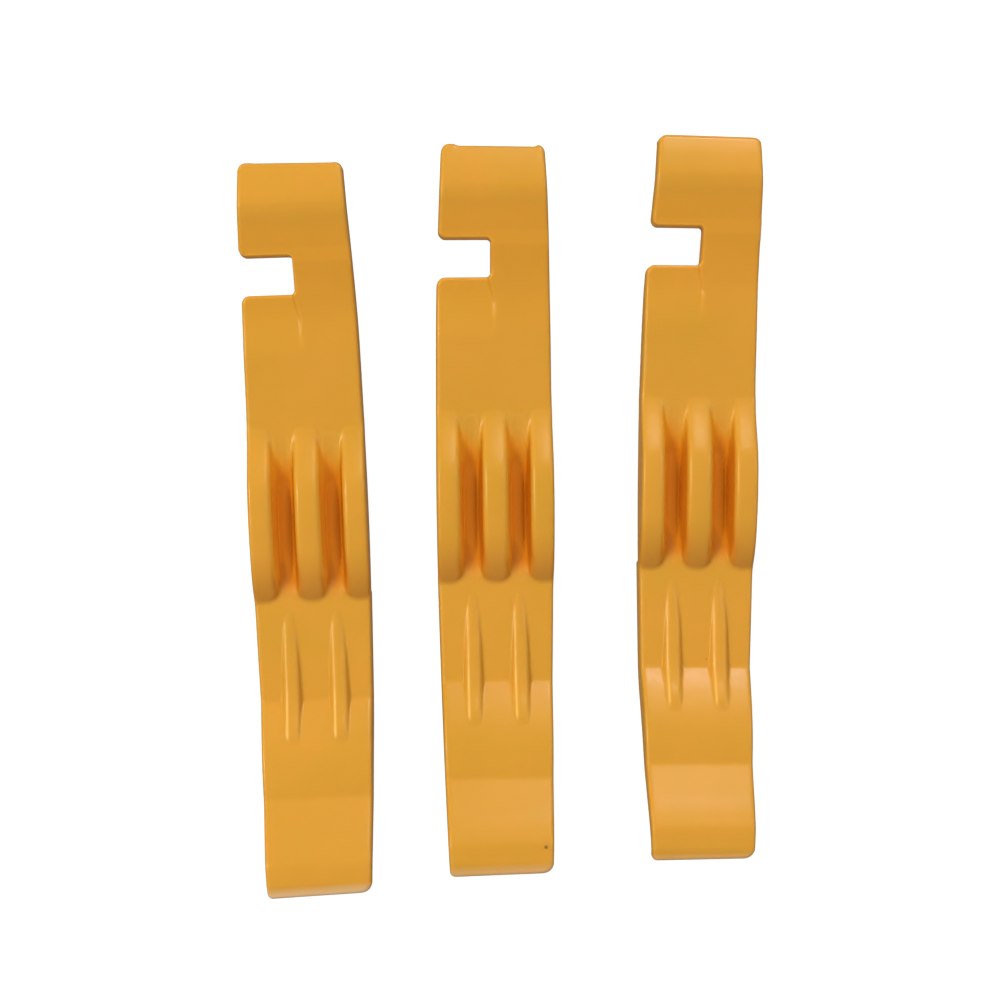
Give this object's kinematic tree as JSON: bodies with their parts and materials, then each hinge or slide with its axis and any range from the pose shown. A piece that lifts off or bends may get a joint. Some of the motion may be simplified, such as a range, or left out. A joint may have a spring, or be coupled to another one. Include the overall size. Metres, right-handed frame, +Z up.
{
  "type": "tyre lever set",
  "caption": "Curved one-piece plastic tyre levers, each with a spoon tip, finned grip, two ribs and a side slot that hooks a spoke; a nesting set laid side by side.",
  "frame": {"origin": "centre of the set's footprint, on the surface the levers lie on", "axes": "+Z up, away from the table; +Y towards the spoke-hook ends; -Y towards the spoon tips; +X towards the right-hand lever"},
  "size_m": [0.0862, 0.1244, 0.0142],
  "materials": {
    "yellow_nylon": "satin moulded nylon, golden yellow, lightly scuffed"
  },
  "bodies": {
    "middle_lever": {"middle_lever": "yellow_nylon"},
    "left_lever": {"left_lever": "yellow_nylon"},
    "right_lever": {"right_lever": "yellow_nylon"}
  },
  "joints": [
    {"name": "left_lever_lift", "type": "slide", "parent": "middle_lever", "child": "left_lever", "axis": [0, 0, 1], "range_m": [0, 0.05]},
    {"name": "right_lever_lift", "type": "slide", "parent": "middle_lever", "child": "right_lever", "axis": [0, 0, 1], "range_m": [0, 0.05]}
  ]
}
